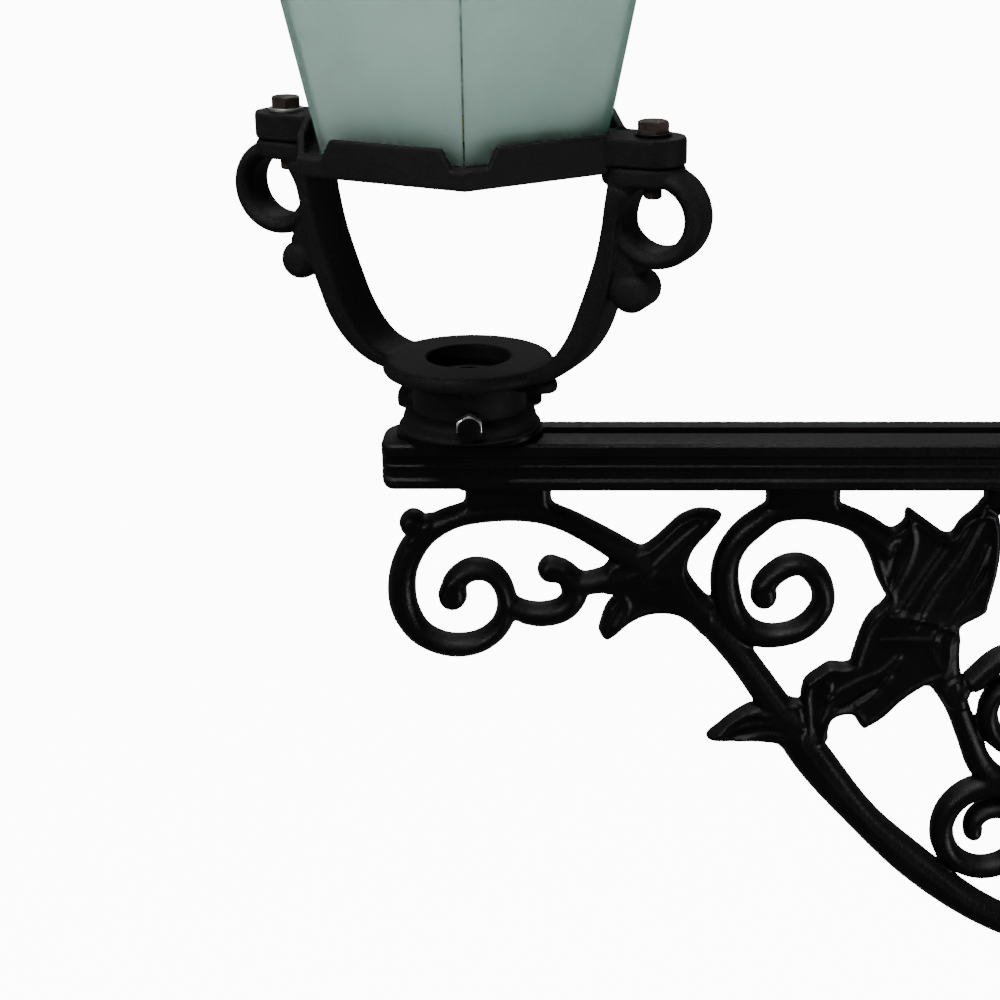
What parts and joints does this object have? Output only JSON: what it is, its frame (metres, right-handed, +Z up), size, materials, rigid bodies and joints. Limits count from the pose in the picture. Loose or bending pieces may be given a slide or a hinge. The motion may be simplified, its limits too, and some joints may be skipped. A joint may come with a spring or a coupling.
{
  "type": "street lamp post",
  "caption": "Cast street lamp post with a scrolled side arm, a turning two-armed cradle and a six-sided frosted lantern with a hinged roof.",
  "frame": {"origin": "middle of the underside of the base plate, on the axis of the post", "axes": "+Z up; the arm and lantern point to -X; the access door faces -Y"},
  "size_m": [1.1599, 0.48, 3.48],
  "materials": {
    "iron_black": "satin black paint over cast iron",
    "zinc_steel": "dull zinc plate",
    "rusty_steel": "weathered plated steel with brown rust",
    "frosted_glass": "frosted pale green glass",
    "rubber_seal": "matt black",
    "brass": "dull brass",
    "plastic_grey": "matt grey",
    "plastic_white": "matt white",
    "board": "varnished board",
    "porcelain": "glazed white",
    "enamel_white": "white enamel",
    "lamp_glass": "opal glass"
  },
  "bodies": {
    "post": {"base_plate": "iron_black", "base_casting": "iron_black", "base_bolts": "zinc_steel", "base_cornice": "iron_black", "foot_ring": "iron_black", "lower_shaft": "iron_black", "middle_collar": "iron_black", "upper_shaft": "iron_black", "capital": "iron_black", "post_finial": "iron_black", "backboard": "board", "fuse_box": "plastic_grey", "service_gland": "brass", "earth_stud": "brass", "door_hinge_pins": "zinc_steel", "bracket_beam": "iron_black", "spigot": "iron_black", "scroll_panel": "iron_black", "panel_screws": "zinc_steel", "clamp_upper_front": "iron_black", "clamp_upper_rear": "iron_black", "clamp_lower_front": "iron_black", "clamp_lower_rear": "iron_black", "clamp_bolts": "zinc_steel", "clamp_nuts": "zinc_steel", "arm_bolts": "zinc_steel"},
    "lantern": {"swivel_collar": "iron_black", "collar_screws": "zinc_steel", "cradle": "iron_black", "cradle_bolts": "zinc_steel", "lug_washers": "zinc_steel", "lug_bolts": "rusty_steel", "tray": "iron_black", "tray_gland": "brass", "tray_gasket": "rubber_seal", "pane_right": "frosted_glass", "pane_back_right": "frosted_glass", "pane_back_left": "frosted_glass", "pane_left": "frosted_glass", "pane_front_left": "frosted_glass", "pane_front_right": "frosted_glass", "crown_frame": "iron_black", "tie_rods": "zinc_steel", "lamp_bridge": "zinc_steel", "lampholder": "porcelain", "reflector": "enamel_white", "lamp": "lamp_glass", "hinge_pins": "zinc_steel"},
    "roof": {"roof_shell": "iron_black", "vent_drum": "iron_black", "vent_cap": "iron_black", "roof_finial": "iron_black"},
    "thumb_screw": {"thumb_screw": "brass"},
    "door": {"access_door": "iron_black"},
    "door_lock": {"door_lock": "brass"},
    "fuse_carrier": {"fuse_carrier": "plastic_white"}
  },
  "joints": [
    {"name": "lantern_swivel", "type": "hinge", "parent": "post", "child": "lantern", "pos_m": [-0.7, 0, 2.53], "axis": [0, 0, 1], "range_deg": [-180, 180]},
    {"name": "roof_hinge", "type": "hinge", "parent": "lantern", "child": "roof", "pos_m": [-0.90741, -0.0156, 3.139], "axis": [0.075, -0.9972, 0], "range_deg": [0, 100]},
    {"name": "roof_screw", "type": "hinge", "parent": "roof", "child": "thumb_screw", "pos_m": [-0.49259, 0.0156, 3.14], "axis": [0, 0, 1], "continuous": true},
    {"name": "door_hinge", "type": "hinge", "parent": "post", "child": "door", "pos_m": [-0.063, -0.176, 0.345], "axis": [0, 0, -1], "range_deg": [0, 110]},
    {"name": "door_lock_turn", "type": "hinge", "parent": "door", "child": "door_lock", "pos_m": [0.04, -0.17, 0.345], "axis": [0, 1, 0], "range_deg": [0, 90]},
    {"name": "fuse_pull", "type": "slide", "parent": "post", "child": "fuse_carrier", "axis": [0, -1, 0], "range_m": [0, 0.022]}
  ]
}
